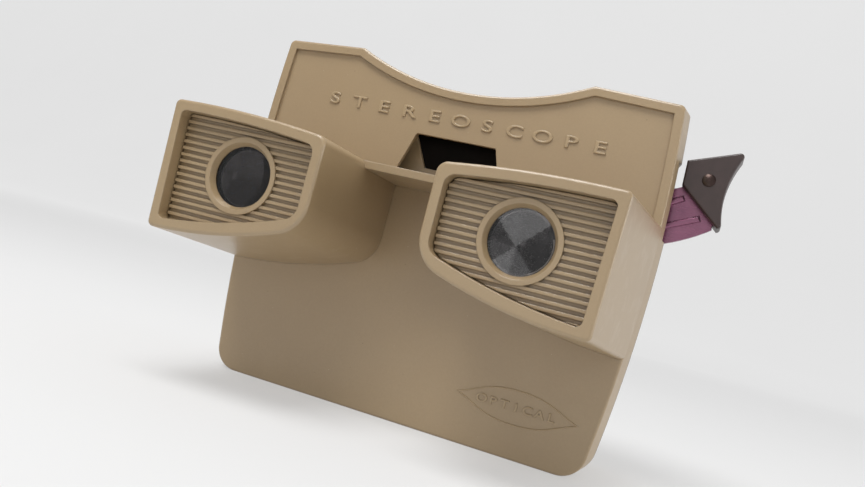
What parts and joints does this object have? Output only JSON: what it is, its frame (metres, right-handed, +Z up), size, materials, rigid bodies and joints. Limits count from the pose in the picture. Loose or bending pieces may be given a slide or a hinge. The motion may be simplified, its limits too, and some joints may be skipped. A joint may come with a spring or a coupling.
{
  "type": "stereo viewer",
  "caption": "Handheld moulded plastic stereo viewer with hooded ribbed eyepieces, a top slot for picture reels and a sprung side lever that advances the reel.",
  "frame": {"origin": "centre of the flat base, under the midpoint between the two lenses", "axes": "+Z up, +X towards the advance lever on the user's right, +Y away from the user's eyes; the eyepieces face -Y"},
  "size_m": [0.1247, 0.0749, 0.093],
  "materials": {
    "beige_moulding": "satin",
    "clear_lens": "polished",
    "black_sheet": "matte",
    "frosted_sheet": "matte",
    "violet_lacquer_steel": "gloss",
    "brown_grip": "satin",
    "blackened_rivet": "satin",
    "zinc_steel": "satin",
    "spring_steel": "satin"
  },
  "bodies": {
    "housing": {"eyepiece_housing": "beige_moulding", "window_housing": "beige_moulding", "right_eyepiece_panel": "beige_moulding", "left_eyepiece_panel": "beige_moulding", "right_lens": "clear_lens", "left_lens": "clear_lens", "right_lens_retainer": "black_sheet", "left_lens_retainer": "black_sheet", "picture_mask": "black_sheet", "reel_guide": "beige_moulding", "right_reel_seat": "beige_moulding", "left_reel_seat": "beige_moulding", "guide_screws": "zinc_steel", "light_shield": "black_sheet", "right_diffuser": "frosted_sheet", "left_diffuser": "frosted_sheet", "lever_pivot_stud": "zinc_steel", "pivot_washer": "zinc_steel", "pivot_clip": "spring_steel", "spring_post": "zinc_steel", "lever_return_spring": "spring_steel"},
    "lever": {"lever_arm": "violet_lacquer_steel", "lever_grip_front": "brown_grip", "lever_grip_back": "brown_grip", "grip_rivet": "blackened_rivet", "pawl_rivets": "zinc_steel"},
    "pawl": {"pawl": "spring_steel"}
  },
  "joints": [
    {"name": "lever_press", "type": "hinge", "parent": "housing", "child": "lever", "pos_m": [-0.0174, -0.0054, 0.0513], "axis": [0, 1, 0], "range_deg": [0, 22], "stiffness_Nm_per_rad": 0.3, "springref_deg": -11.46, "deforming": ["lever_return_spring"]},
    {"name": "pawl_flex", "type": "hinge", "parent": "lever", "child": "pawl", "pos_m": [0.00027, -0.00635, 0.05473], "axis": [0.1908, 0, -0.9816], "range_deg": [0, 3.2], "stiffness_Nm_per_rad": 0.01, "springref_deg": -1.15}
  ]
}
